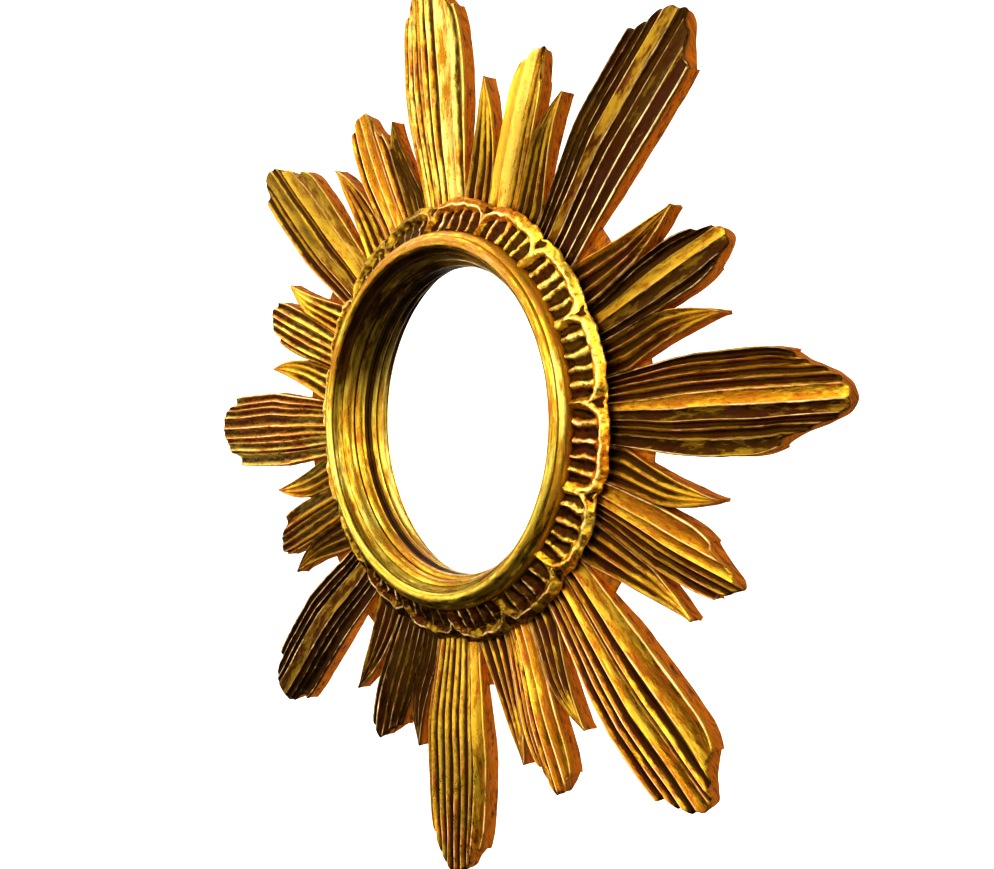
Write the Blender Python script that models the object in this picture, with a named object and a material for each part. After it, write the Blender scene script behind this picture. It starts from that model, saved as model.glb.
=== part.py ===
"""Sunburst wall mirror: a round glass in a turned moulding, a scalloped collar, and a carved board of rays.

Lengths are in metres. X runs right, Z up, the wall is the plane y = 0 and the front looks toward -Y.
The origin is the hanging point, on the back of the ray board above the glass.
A depth is a distance in front of the wall, and an angle is counted from +X toward +Z.
"""

import bpy
import bmesh
from math import cos, sin, pi, radians, sqrt

joint_gap = 0.0003            # clearance between pieces that touch

# The looking glass and the board behind it
glass_radius = 0.1085
glass_thickness = 0.003
rebate_clearance = 0.0015     # round the glass and the back board
back_board_thickness = 0.004
back_board_recess = 0.0007    # its back lies this far off the wall
board_front = back_board_recess + back_board_thickness
glass_back = board_front + joint_gap
glass_front = glass_back + glass_thickness

# The turned moulding, from the glass outward
lip_cover = 0.005             # how far its lip covers the glass
crest_offset = 0.009          # middle of the crest bead beyond the edge of the glass
moulding_overhang = 0.0165    # outer wall beyond the edge of the glass
moulding_height = 0.0272      # crest above the glass
crest_bead = 0.0041           # half the width of the crest bead
crest_bead_rise = 0.0026
moulding_outer_wall = 0.0065  # drop from the crest to the shoulder over the collar
sight_radius = glass_radius - lip_cover
crest_radius = glass_radius + crest_offset
moulding_foot = glass_radius + moulding_overhang
# lip bead, groove, ovolo, fillet and cove, as shares of the way from the lip to the crest bead
funnel_steps = ((0.0, 0.12), (0.22, 0.34), (0.34, 0.46), (0.60, 0.69), (0.90, 0.86))

# The board that the rays are carved from
spigot_depth = 0.0043         # the moulding reaches this far into the board, down to the glass
collar_seat_width = 0.009     # flat round the moulding that carries the collar
seat_step = 0.001             # slope at the edge of that flat
boss_width = 0.008            # the thicker middle, beyond the flat's edge, touches the wall
web_width = 0.042             # from the flat's edge to where the board opens between rays
web_thickness = 0.002
root_step = 0.0009            # ridges of the rays over the flat, at the collar
root_thickness = 0.0047       # the rays there
ray_climb = 0.0063            # rise of the ridges from the collar outward
ray_climb_width = 0.077       # the way they take for it
ray_tip_drop = 0.0006
flute_depth = 0.0026
flute_tip_round = 0.0022
hang_inset = 0.0155           # hanging point below the edge of the thicker middle
board_seat = glass_front + spigot_depth
seat_radius = moulding_foot + collar_seat_width
boss_radius = seat_radius + boss_width
hang_radius = boss_radius - hang_inset
web_radius = seat_radius + web_width
ray_start = seat_radius + 4 * seat_step   # the rays run in under the collar
ray_root_top = board_seat + root_step
ray_back = ray_root_top - root_thickness
web_front = ray_back + web_thickness

# The scalloped collar round the moulding
scallops = 16
flutes_per_scallop = 5
collar_overhang = 0.0092      # beyond its seat, between two scallops
scallop_bulge = 0.0032        # how far each scallop stands out of that
collar_rim_height = 0.0073    # top of the rim over the roots of the rays
collar_rim_width = 0.0058
collar_rim_fall = 0.0034      # from the rim's top to its outer shoulder
rim_crown = 0.6               # where the rim is highest, as a share of its width
rim_shoulder = 0.1
pocket_depth = 0.0028         # hollow of a scallop below its rim
pocket_middle = 0.7           # share of that hollow halfway down the pocket
pocket_walls = 5              # the hollow is full from this share of a scallop inward, as 1 in 5
collar_flute_depth = 0.0011
flute_at_moulding = 0.6       # their depth where they meet the moulding, as a share of that
collar_shoulder = 0.0005      # its inner edge over the moulding's shoulder
collar_undercut = 0.0022      # underside's rise over the rays
scallop_turn = radians(2)     # the first boundary, counted from +X
collar_radius = seat_radius + collar_overhang
collar_rim_depth = ray_root_top + collar_rim_height

# Lengths of the rays are counted from the edge of the collar's seat
long_length = 0.169
long_root_half = 0.021
long_widening = 0.086         # where they are widest
long_reach = seat_radius + long_length
long_wide_at = seat_radius + long_widening
# angle, half widths on the counter-clockwise and clockwise side in mm, and where
# each flute ends as a share of the reach, counter-clockwise side first
long_rays = [
    (0, 28, 28, (0.90, 0.925, 0.96, 0.985, 1.0, 1.0, 0.975, 0.925, 0.87)),
    (45, 31, 24, (0.905, 0.93, 0.965, 0.985, 0.995, 0.97, 0.925)),
    (90, 33, 29, (0.925, 0.965, 0.995, 1.0, 0.997, 0.985, 0.955, 0.91)),
    (135, 26, 30, (0.95, 0.99, 1.0, 0.985, 0.96, 0.925, 0.865)),
    (180, 28, 31, (0.905, 0.96, 0.97, 0.985, 1.0, 1.0, 0.99, 0.97, 0.925)),
    (225, 22, 31, (0.92, 0.975, 0.995, 1.0, 1.0, 0.985, 0.93)),
    (270, 31, 29, (0.935, 0.97, 0.985, 0.995, 1.0, 0.985, 0.965, 0.925)),
    (315, 27, 34, (0.90, 0.955, 0.985, 0.995, 0.975, 0.95, 0.91)),
]

middle_length = 0.116
middle_root_half = 0.0165
middle_widening = 0.071
middle_reach = seat_radius + middle_length
middle_wide_at = seat_radius + middle_widening
middle_rays = [
    (21, 16, 17, (0.93, 0.975, 1.0, 1.0, 0.95)),
    (67, 13, 16, (0.945, 0.975, 0.985, 0.91)),
    (110.8, 20, 19, (0.945, 0.97, 0.965, 0.925, 0.865)),
    (157.3, 16, 18, (0.88, 0.935, 0.945, 0.955, 0.93)),
    (202.3, 16, 16, (0.91, 0.935, 0.925, 0.915, 0.87)),
    (250.5, 18, 19, (0.885, 0.91, 0.945, 0.97, 0.945)),
    (293.5, 16, 17, (0.97, 1.0, 1.0, 0.965, 0.925)),
    (338.5, 16, 18, (0.92, 0.99, 1.02, 1.0, 0.97)),
]

leaf_length = 0.094
leaf_root_half = 0.014
leaf_point = 0.06             # width of the point as a share of the root
leaf_taper = 3.2              # outline on the side of the middle ray, which stays full
leaf_hollow = 1.4             # outline on the side of the long ray, which is drawn in
leaf_edge_depth = 0.0009      # its edges below its ridge
# places across a leaf, from the full edge at 1 to the drawn-in edge at -1, and their depth
leaf_section = ((1.0, leaf_edge_depth), (0.45, flute_depth), (-0.15, 0.0),
                (-0.6, flute_depth), (-1.0, leaf_edge_depth))
leaf_reach = seat_radius + leaf_length
# angle at the root, angle at the tip, and tip as a share of the reach
leaf_rays = [
    (11.3, 11.8, 1.035), (32.3, 29.0, 1.0), (56.8, 58.3, 0.995), (77.8, 77.5, 0.99),
    (101.0, 103.0, 0.96), (122.5, 122.2, 1.0), (147.0, 148.7, 0.97), (168.0, 167.0, 0.98),
    (192.0, 192.4, 0.967), (213.0, 210.4, 0.97), (238.5, 240.1, 0.98), (259.5, 260.0, 1.0),
    (282.5, 287.0, 1.005), (303.5, 302.7, 0.985), (327.5, 330.2, 1.03), (348.5, 347.2, 1.015),
]

turned_segments = 44          # the same on all turned pieces, so that their gaps stay even
columns_per_scallop = 2 * flutes_per_scallop


def smooth_step(value):
    t = min(max(value, 0.0), 1.0)
    return t * t * (3 - 2 * t)


def at(radius, angle, depth):
    """A point by its distance from the mirror's axis, its angle and its depth."""
    return (radius * cos(angle), -depth, radius * sin(angle))


def make_material(name, colour, roughness, metallic):
    material = bpy.data.materials.new(name)
    material.use_nodes = True
    shader = material.node_tree.nodes["Principled BSDF"]
    shader.inputs["Base Color"].default_value = (*colour, 1.0)
    shader.inputs["Roughness"].default_value = roughness
    shader.inputs["Metallic"].default_value = metallic
    material.diffuse_color = (*colour, 1.0)
    return material


def make_object(name, bm, material, sharp_angle):
    """Finish a mesh, name it and set it in its place under the hanging point."""
    bmesh.ops.recalc_face_normals(bm, faces=bm.faces)
    mesh = bpy.data.meshes.new(name)
    bm.to_mesh(mesh)
    bm.free()
    mesh.shade_smooth()
    mesh.set_sharp_from_angle(angle=sharp_angle)
    mesh.materials.append(material)
    thing = bpy.data.objects.new(name, mesh)
    thing.location = (0, 0, -hang_radius)
    bpy.context.collection.objects.link(thing)
    return thing


def turned_ring(profile):
    """A closed outline of (radius, depth) points, turned round the mirror's axis."""
    bm = bmesh.new()
    rings = []
    for step in range(turned_segments):
        angle = 2 * pi * step / turned_segments
        rings.append([bm.verts.new(at(radius, angle, depth)) for radius, depth in profile])
    for step in range(turned_segments):
        here = rings[step]
        there = rings[(step + 1) % turned_segments]
        for index in range(len(profile)):
            after = (index + 1) % len(profile)
            bm.faces.new((here[index], there[index], there[after], here[after]))
    return bm


def disc(radius, back, front):
    """A flat round plate between two depths."""
    bm = bmesh.new()
    angles = [2 * pi * step / turned_segments for step in range(turned_segments)]
    behind = [bm.verts.new(at(radius, angle, back)) for angle in angles]
    before = [bm.verts.new(at(radius, angle, front)) for angle in angles]
    bm.faces.new(behind)
    bm.faces.new(before)
    for step in range(turned_segments):
        after = (step + 1) % turned_segments
        bm.faces.new((behind[step], behind[after], before[after], before[step]))
    return bm


def ray_depth(radius):
    """Depth of the ridges of a ray, which climb from the collar to their full height."""
    return ray_root_top + ray_climb * smooth_step((radius - ray_start) / ray_climb_width)


def close_blade(bm, grid):
    """Close a grid of top points with a wall down to the back of the rays and a flat back."""
    columns = len(grid)
    rows = len(grid[0])
    for column in range(columns - 1):
        for row in range(rows - 1):
            bm.faces.new((grid[column][row], grid[column + 1][row],
                          grid[column + 1][row + 1], grid[column][row + 1]))
    rim = [grid[column][0] for column in range(columns)]
    rim += [grid[-1][row] for row in range(1, rows)]
    rim += [grid[column][-1] for column in range(columns - 2, -1, -1)]
    rim += [grid[0][row] for row in range(rows - 2, 0, -1)]
    below = [bm.verts.new((vert.co.x, -ray_back, vert.co.z)) for vert in rim]
    for index in range(len(rim)):
        after = (index + 1) % len(rim)
        bm.faces.new((rim[index], rim[after], below[after], below[index]))
    bm.faces.new(below)


def fluted_ray(angle, reach, root_half, wide_at, left_half, right_half, flute_ends):
    """A ray of hollow flutes between ridges, each flute ending at its own length."""
    flutes = len(flute_ends)
    columns = []
    for index in range(flutes + 1):
        beside = flute_ends[max(index - 1, 0):index + 1]
        columns.append((index / flutes, min(beside) * reach - flute_tip_round, 0.0))
        if index < flutes:
            columns.append(((index + 0.5) / flutes, flute_ends[index] * reach, flute_depth))
    rows = (0.0, 0.6, 1.0)
    bm = bmesh.new()
    grid = []
    for share, end, hollow in columns:
        column = []
        for row in rows:
            along = ray_start + (end - ray_start) * row
            widen = smooth_step((along - ray_start) / (wide_at - ray_start))
            left = root_half + (left_half - root_half) * widen
            right = root_half + (right_half - root_half) * widen
            across = left - (left + right) * share
            depth = ray_depth(along) - hollow - ray_tip_drop * row
            x = along * cos(angle) - across * sin(angle)
            z = along * sin(angle) + across * cos(angle)
            column.append(bm.verts.new((x, -depth, z)))
        grid.append(column)
    close_blade(bm, grid)
    return bm


def leaf_ray(root_angle, tip_angle, reach, full_side):
    """A small flame-like ray with one ridge, drawn out to a point."""
    rows = (0.0, 0.5, 0.82, 1.0)
    bm = bmesh.new()
    grid = []
    for place, hollow in leaf_section:
        column = []
        for row in rows:
            along = ray_start + (reach - ray_start) * row
            turn = root_angle + (tip_angle - root_angle) * row
            taper = leaf_taper if place * full_side > 0 else leaf_hollow
            across = place * leaf_root_half * max(1 - row ** taper, leaf_point)
            fade = 1 - row * row
            depth = ray_depth(along) - hollow * fade - ray_tip_drop * row
            x = along * cos(turn) - across * sin(turn)
            z = along * sin(turn) + across * cos(turn)
            column.append(bm.verts.new((x, -depth, z)))
        grid.append(column)
    close_blade(bm, grid)
    return bm


def build_ray_board(material):
    hole = glass_radius + rebate_clearance
    body = [(hole, 0.0), (boss_radius, 0.0), (boss_radius, ray_back), (web_radius, ray_back),
            (web_radius, web_front), (seat_radius + seat_step, web_front),
            (seat_radius, board_seat), (hole, board_seat)]
    board = make_object("sunburst_ray_board", turned_ring(body), material, radians(30))
    blades = bpy.data.collections.new("carved_rays")
    bpy.context.scene.collection.children.link(blades)

    def add_blade(bm):
        bmesh.ops.recalc_face_normals(bm, faces=bm.faces)
        mesh = bpy.data.meshes.new("ray")
        bm.to_mesh(mesh)
        bm.free()
        blade = bpy.data.objects.new("ray", mesh)
        blade.location = board.location
        blade.hide_render = True
        blade.display_type = "WIRE"
        blades.objects.link(blade)

    for angle, left, right, ends in long_rays:
        add_blade(fluted_ray(radians(angle), long_reach, long_root_half, long_wide_at,
                             left * 0.001, right * 0.001, ends))
    for angle, left, right, ends in middle_rays:
        add_blade(fluted_ray(radians(angle), middle_reach, middle_root_half, middle_wide_at,
                             left * 0.001, right * 0.001, ends))
    for index, (root_angle, tip_angle, share) in enumerate(leaf_rays):
        full_side = 1 if index % 2 == 0 else -1
        add_blade(leaf_ray(radians(root_angle), radians(tip_angle), leaf_reach * share, full_side))
    union = board.modifiers.new("carved_rays", "BOOLEAN")
    union.operation = "UNION"
    union.operand_type = "COLLECTION"
    union.collection = blades
    union.solver = "EXACT"
    return board


def arc(centre_radius, centre_depth, across, along, start, end, steps):
    """Points on an arc of an ellipse in the (radius, depth) plane, angles in degrees."""
    points = []
    for step in range(steps + 1):
        turn = radians(start + (end - start) * step / steps)
        points.append((centre_radius + across * cos(turn), centre_depth + along * sin(turn)))
    return points


def moulding_profile():
    """The turned outline: lip, bead, ovolo, cove, crest bead and outer wall."""
    face = glass_front + joint_gap
    crest = glass_front + moulding_height
    funnel = crest_radius - crest_bead - sight_radius
    seat = board_seat + joint_gap
    spigot = glass_radius + rebate_clearance - joint_gap
    profile = [(spigot, seat), (spigot, face), (sight_radius, face)]
    for out, up in funnel_steps:
        profile.append((sight_radius + out * funnel, face + up * moulding_height))
    profile += arc(crest_radius, crest - crest_bead_rise, crest_bead, crest_bead_rise, 180, 0, 3)
    profile += [(moulding_foot, crest - moulding_outer_wall)]
    profile += [(moulding_foot, seat)]
    return profile


def collar_column(share, turn):
    """One section through the collar, at a share of the way across a scallop."""
    middle = 1 - abs(2 * share - 1)
    swell = sqrt(max(1 - (2 * share - 1) ** 2, 0.0))
    outer = collar_radius + scallop_bulge * swell
    inner = moulding_foot + joint_gap
    top = glass_front + moulding_height - moulding_outer_wall + collar_shoulder
    hollow = pocket_depth * min(middle * pocket_walls, 1.0)
    rim_inner = outer - collar_rim_width
    seat = board_seat + joint_gap
    underside = ray_root_top + collar_undercut
    wave = collar_flute_depth * cos(turn)
    half_way = (inner + rim_inner) / 2
    slope_middle = (top + collar_rim_depth) / 2
    return [
        (inner, seat),
        (inner, top + flute_at_moulding * wave),
        (half_way, slope_middle - pocket_middle * hollow + wave),
        (rim_inner, collar_rim_depth - hollow + wave),
        (outer - rim_crown * collar_rim_width, collar_rim_depth),
        (outer - rim_shoulder * collar_rim_width, collar_rim_depth - collar_rim_fall),
        (outer, underside),
        (seat_radius - joint_gap, seat),
    ]


def build_collar(material):
    bm = bmesh.new()
    rings = []
    total = scallops * columns_per_scallop
    for step in range(total):
        share = (step % columns_per_scallop) / columns_per_scallop
        angle = scallop_turn + 2 * pi * step / total
        turn = 2 * pi * share * (columns_per_scallop / 2)
        rings.append([bm.verts.new(at(radius, angle, depth)) for radius, depth in collar_column(share, turn)])
    count = len(rings[0])
    for step in range(total):
        here = rings[step]
        there = rings[(step + 1) % total]
        for index in range(count):
            after = (index + 1) % count
            bm.faces.new((here[index], there[index], there[after], here[after]))
    return make_object("scalloped_collar", bm, material, radians(40))


for old in list(bpy.data.objects):
    bpy.data.objects.remove(old, do_unlink=True)

gilding = make_material("gilding", (0.62, 0.37, 0.07), 0.38, 0.75)
worn_gilding = make_material("worn_gilding", (0.55, 0.29, 0.05), 0.42, 0.7)
silvered_glass = make_material("silvered_glass", (0.93, 0.94, 0.94), 0.02, 1.0)
plain_wood = make_material("plain_wood", (0.24, 0.13, 0.06), 0.75, 0.0)

build_ray_board(gilding)
build_collar(worn_gilding)
make_object("turned_moulding", turned_ring(moulding_profile()), gilding, radians(35))
make_object("mirror_glass", disc(glass_radius, glass_back, glass_front),
            silvered_glass, radians(30))
make_object("back_board", disc(glass_radius, back_board_recess, board_front),
            plain_wood, radians(30))
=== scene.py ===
import bpy
import bmesh
from math import atan, atan2, cos, hypot, pi, radians, sin, sqrt, tan
from mathutils import Matrix, Vector, noise


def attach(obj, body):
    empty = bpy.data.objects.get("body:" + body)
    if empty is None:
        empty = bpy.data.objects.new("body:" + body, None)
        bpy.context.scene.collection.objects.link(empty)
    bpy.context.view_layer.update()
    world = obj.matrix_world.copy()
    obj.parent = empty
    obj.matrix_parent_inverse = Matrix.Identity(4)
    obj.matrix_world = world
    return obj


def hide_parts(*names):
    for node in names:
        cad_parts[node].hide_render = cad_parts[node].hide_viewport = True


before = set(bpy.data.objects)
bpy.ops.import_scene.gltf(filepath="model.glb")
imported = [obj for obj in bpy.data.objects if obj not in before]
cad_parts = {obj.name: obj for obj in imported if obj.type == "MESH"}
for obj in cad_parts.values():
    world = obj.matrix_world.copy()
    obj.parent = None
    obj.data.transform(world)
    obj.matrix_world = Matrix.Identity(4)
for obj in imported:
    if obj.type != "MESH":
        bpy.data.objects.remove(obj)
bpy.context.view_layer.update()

# Lengths are in metres. The mirror's axis runs along Y below the hanging point, the wall is y = 0,
# and a depth is a distance in front of the wall.
mirror = {
    "hangRadius": 0.1265,      # hanging point above the middle of the glass
    "glassFront": 0.008,
    "boardSeat": 0.0123,
    "hole": 0.11,              # in the ray board, round the glass
    "seatRadius": 0.134,       # edge of the flat that carries the collar
}


def smoothStep(value):
    t = min(max(value, 0.0), 1.0)
    return t * t * (3 - 2 * t)


def mix(a, b, share):
    return a + (b - a) * share


def ripple(x, y, z):
    return noise.noise(Vector((x, y, z)))


# ---- camera, floor and light

def directionOf(azimuth, elevation):
    # as seen from the mirror: 0 is straight in front, 90 to the right
    a, e = radians(azimuth), radians(elevation)
    return Vector((sin(a) * cos(e), -cos(a) * cos(e), sin(e)))


def setCamera():
    view = {
        "azimuth": 49.52, "elevation": -1.51, "distance": 0.7968,
        "turn": -1.31, "tilt": 0.73, "roll": -1.78,   # aim, off the middle of the glass
        "aimDepth": 0.0028,
        "focalPixels": 1169.0, "pictureWidth": 994.0, "sensor": 36.0,
    }
    place = directionOf(view["azimuth"], view["elevation"]) * view["distance"]
    place += Vector((0, view["aimDepth"], -mirror["hangRadius"]))
    facing = view["azimuth"] + view["turn"]
    back = directionOf(facing, view["elevation"] + view["tilt"])
    right = Vector((cos(radians(facing)), sin(radians(facing)), 0))
    up = back.cross(right)
    roll = radians(view["roll"])
    across = right * cos(roll) + up * sin(roll)
    upward = up * cos(roll) - right * sin(roll)
    data = bpy.data.cameras.new("camera")
    data.sensor_width = view["sensor"]
    data.lens = view["focalPixels"] / view["pictureWidth"] * view["sensor"]
    data.clip_start, data.clip_end = 0.02, 60
    camera = bpy.data.objects.new("camera", data)
    bpy.context.scene.collection.objects.link(camera)
    camera.matrix_world = Matrix(((*across, 0), (*upward, 0), (*back, 0), (*place, 1))).transposed()
    bpy.context.scene.camera = camera


def softLight(name, toward, distance, size, brightness, colour=(1, 1, 1)):
    data = bpy.data.lights.new(name, "AREA")
    data.shape = "RECTANGLE"
    data.size, data.size_y = size
    data.energy = brightness * pi * size[0] * size[1]
    data.color = colour
    lamp = bpy.data.objects.new(name, data)
    bpy.context.scene.collection.objects.link(lamp)
    direction = directionOf(*toward)
    lamp.location = direction * distance + Vector((0, 0, -mirror["hangRadius"]))
    lamp.rotation_mode = "QUATERNION"
    lamp.rotation_quaternion = (-direction).to_track_quat("-Z", "Y")
    return lamp


def setStudio():
    studio = {
        "floorDrop": 0.75, "floorSize": 40.0,
        "low": (0.02, 0.017, 0.014), "high": (0.27, 0.26, 0.25), "lowUntil": 0.44, "highFrom": 0.85,
        "backdrop": 1.25,
    }
    scene = bpy.context.scene
    scene.view_settings.view_transform = "Standard"
    scene.view_settings.look = "High Contrast"
    world = bpy.data.worlds.new("studio")
    scene.world = world
    world.use_nodes = True
    tree = world.node_tree
    tree.nodes.clear()
    upward = addNode(tree, "ShaderNodeTexCoord").outputs["Generated"]
    upward = addNode(tree, "ShaderNodeSeparateXYZ", {0: upward}).outputs["Z"]
    upward = addNode(tree, "ShaderNodeMapRange", {"Value": upward, "From Min": -1})
    ramp = addNode(tree, "ShaderNodeValToRGB", {0: upward})
    for stop, place, colour in ((0, "lowUntil", "low"), (1, "highFrom", "high")):
        ramp.color_ramp.elements[stop].position = studio[place]
        ramp.color_ramp.elements[stop].color = (*studio[colour], 1)
    room = addNode(tree, "ShaderNodeBackground", {"Color": ramp})
    backdrop = addNode(tree, "ShaderNodeBackground", {
        "Color": (1, 1, 1, 1), "Strength": studio["backdrop"]})
    mirrored = addNode(tree, "ShaderNodeLightPath").outputs["Is Glossy Ray"]
    chosen = addNode(tree, "ShaderNodeMixShader", {0: mirrored, 1: backdrop, 2: room})
    addNode(tree, "ShaderNodeOutputWorld", {0: chosen})

    # the cards stand where the glass mirrors them, the others light the carving
    softLight("card_left", (-50, 1), 1.5, (0.95, 0.8), 1.3)
    softLight("window_front", (4, 27), 1.6, (1.3, 0.9), 2.5, (1.0, 0.97, 0.92))
    softLight("card_front", (-2, -2), 1.6, (0.9, 1.1), 1.3, (1.0, 0.98, 0.95))
    softLight("card_right", (44, -4), 1.5, (0.9, 1.2), 1.2, (1.0, 0.97, 0.92))
    softLight("window_high_left", (-72, 50), 1.6, (1.4, 1.3), 1.7)
    softLight("lamp_right", (54, 20), 1.4, (0.5, 0.4), 4.0, (1.0, 0.95, 0.86))

    bm = bmesh.new()
    half = studio["floorSize"] / 2
    corners = [bm.verts.new((x, y, -studio["floorDrop"])) for x, y in
               ((-half, -half), (half, -half), (half, half), (-half, half))]
    bm.faces.new(corners)
    mesh = bpy.data.meshes.new("floor")
    bm.to_mesh(mesh)
    bm.free()
    floor = bpy.data.objects.new("floor", mesh)
    scene.collection.objects.link(floor)
    pale, shader = newMaterial("pale_floor")
    shader.inputs["Base Color"].default_value = (0.93, 0.93, 0.93, 1)
    shader.inputs["Roughness"].default_value = 0.8
    mesh.materials.append(pale)
    floor.visible_glossy = False
    print("studio: white backdrop, pale floor, six soft lights")


# ---- helpers for node trees

def addGroup(name, kind, inputs, outputs):
    tree = bpy.data.node_groups.new(name, kind)
    for label, socket in inputs:
        tree.interface.new_socket(name=label, in_out="INPUT", socket_type=socket)
    for label, socket in outputs:
        tree.interface.new_socket(name=label, in_out="OUTPUT", socket_type=socket)
    return tree, tree.nodes.new("NodeGroupInput").outputs, tree.nodes.new("NodeGroupOutput").inputs


def feed(socket, value):
    # a node stands for its first output
    if isinstance(value, bpy.types.Node):
        value = value.outputs[0]
    if isinstance(value, bpy.types.NodeSocket):
        socket.id_data.links.new(value, socket)
    elif value is not None:
        socket.default_value = value


def addNode(tree, kind, inputs=None, **settings):
    node = tree.nodes.new(kind)
    for name, value in settings.items():
        setattr(node, name, value)
    for socket, value in (inputs or {}).items():
        feed(node.inputs[socket], value)
    return node


def reckon(tree, operation, a, b=None, clamp=False):
    return addNode(tree, "ShaderNodeMath", {0: a, 1: b}, operation=operation, use_clamp=clamp)


def times(tree, a, b):
    return reckon(tree, "MULTIPLY", a, b)


def plus(tree, a, b, clamp=False):
    return reckon(tree, "ADD", a, b, clamp)


def minus(tree, a, b, clamp=False):
    return reckon(tree, "SUBTRACT", a, b, clamp)


def rangeOf(tree, value, low, high, toLow=0.0, toHigh=1.0):
    return addNode(tree, "ShaderNodeMapRange", {
        "Value": value, "From Min": low, "From Max": high, "To Min": toLow, "To Max": toHigh,
    }, interpolation_type="SMOOTHSTEP")


def blendColour(tree, share, a, b):
    return addNode(tree, "ShaderNodeMix", {0: share, 6: a, 7: b}, data_type="RGBA").outputs[2]


def cloud(tree, vector, scale, detail, rough):
    return addNode(tree, "ShaderNodeTexNoise", {
        "Vector": vector, "Scale": scale, "Detail": detail, "Roughness": rough})


def stretched(tree, vector, scale):
    return addNode(tree, "ShaderNodeMapping", {"Vector": vector, "Scale": scale})


def attribute(tree, name, output="Fac"):
    return addNode(tree, "ShaderNodeAttribute", attribute_name=name).outputs[output]


def addBump(tree, shader, height, strength, distance):
    bump = addNode(tree, "ShaderNodeBump", {"Strength": strength, "Distance": distance, "Height": height})
    feed(shader.inputs["Normal"], bump)


def newMaterial(name):
    material = bpy.data.materials.new(name)
    material.use_nodes = True
    return material, material.node_tree.nodes["Principled BSDF"]


# ---- finishes

gildingColours = ("Leaf", "Bright", "Ochre", "Bole", "Glaze", "Pale", "Wall Colour")
wear = {
    # scale, detail and roughness of the clouds that decide where each colour lies
    "patches": (22.0, 5.0, 0.55), "mottle": (130.0, 6.0, 0.66), "grit": (380.0, 8.0, 0.7),
    "flecks": (1100.0, 3.0, 0.6),
    # from where to where each colour sets in
    "ochreIn": (0.45, 0.58), "paintedHighlightIn": (0.55, 0.42), "boleIn": (0.54, 0.66), "glazeIn": (0.30, 0.92),
    "paleIn": (1.3, 1.9), "wallIn": (0.43, 0.70), "blotchIn": (0.38, 0.6, 0.7, 1.25),
    "boleCover": 0.85, "glazeCover": 0.93, "paleCover": 0.75,
}


def makeGildingGroup():
    # leaf over red bole: leaf in patches, bole where it is rubbed, dark glaze in the hollows, pale ridges
    # that are partly wear and partly painted highlight
    numbers = ("Grain", "Hollow", "Edge", "Wall", "Shade")
    tree, given, result = addGroup("agedGilding", "ShaderNodeTree", (
        ("Place", "NodeSocketVector"), *((name, "NodeSocketFloat") for name in numbers),
        *((name, "NodeSocketColor") for name in gildingColours),
    ), (
        ("Colour", "NodeSocketColor"), ("Roughness", "NodeSocketFloat"),
        ("Metallic", "NodeSocketFloat"), ("Relief", "NodeSocketFloat"),
    ))
    wall = given["Wall"]
    patches, mottle, grit, flecks = (
        cloud(tree, given["Place"], times(tree, given["Grain"], scale), detail, rough)
        for scale, detail, rough in (wear[name] for name in ("patches", "mottle", "grit", "flecks")))

    # painted highlight: a Shade below zero lays a bright yellow over the leaf, standing in for light
    clear = reckon(tree, "MAXIMUM", times(tree, given["Shade"], -1.0), 0.0)
    worn = plus(tree, patches, times(tree, minus(tree, mottle, 0.5), 0.9))
    worn = minus(tree, worn, times(tree, clear, 0.06))
    leaf = blendColour(tree, rangeOf(tree, worn, *wear["ochreIn"]), given["Leaf"], given["Ochre"])
    paintedHighlightShare = times(tree, clear, rangeOf(tree, worn, *wear["paintedHighlightIn"]))
    leaf = blendColour(tree, paintedHighlightShare, leaf, given["Bright"])
    rubbed = plus(tree, times(tree, given["Edge"], 0.10), times(tree, minus(tree, worn, 0.5), 0.45))
    bole = rangeOf(tree, plus(tree, grit, rubbed), *wear["boleIn"])
    colour = blendColour(tree, times(tree, bole, wear["boleCover"]), leaf, given["Bole"])
    settled = times(tree, given["Hollow"], plus(tree, grit, 0.45))
    settled = minus(tree, settled, times(tree, clear, 0.15))
    # painted shade: a Shade above zero lays the dark glaze colour over the leaf in blotches, so the glaze
    # below is the glaze of the hollows plus painted shade
    shaded = reckon(tree, "MAXIMUM", given["Shade"], 0.0)
    shaded = times(tree, shaded, rangeOf(tree, mottle, *wear["blotchIn"]))
    glaze = plus(tree, rangeOf(tree, settled, *wear["glazeIn"]), shaded, clamp=True)
    colour = blendColour(tree, times(tree, glaze, wear["glazeCover"]), colour, given["Glaze"])
    # where the pale shows on ridges and edges: partly wear, partly painted highlight for glints
    rubsAndGlints = times(tree, plus(tree, grit, mottle), 0.6)
    rubsAndGlints = plus(tree, rubsAndGlints, times(tree, minus(tree, patches, 0.5), 1.2))
    ridge = rangeOf(tree, plus(tree, given["Edge"], rubsAndGlints), *wear["paleIn"])
    colour = blendColour(tree, times(tree, ridge, wear["paleCover"]), colour, given["Pale"])
    side = rangeOf(tree, grit, *wear["wallIn"])
    side = blendColour(tree, side, given["Wall Colour"], given["Glaze"])
    feed(result["Colour"], blendColour(tree, wall, colour, side))

    rough = plus(tree, rangeOf(tree, grit, 0.3, 0.7, 0.22, 0.5), times(tree, glaze, 0.16))
    feed(result["Roughness"], plus(tree, rough, times(tree, wall, 0.2)))
    dull = plus(tree, times(tree, bole, 0.3), times(tree, wall, 0.35))
    dull = plus(tree, dull, times(tree, ridge, 0.45))
    feed(result["Metallic"], minus(tree, 1.0, dull, clamp=True))
    relief = plus(tree, times(tree, grit, 0.4), times(tree, flecks, 0.1))
    feed(result["Relief"], plus(tree, relief, mottle))
    return tree


gildingGroup = makeGildingGroup()


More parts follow.
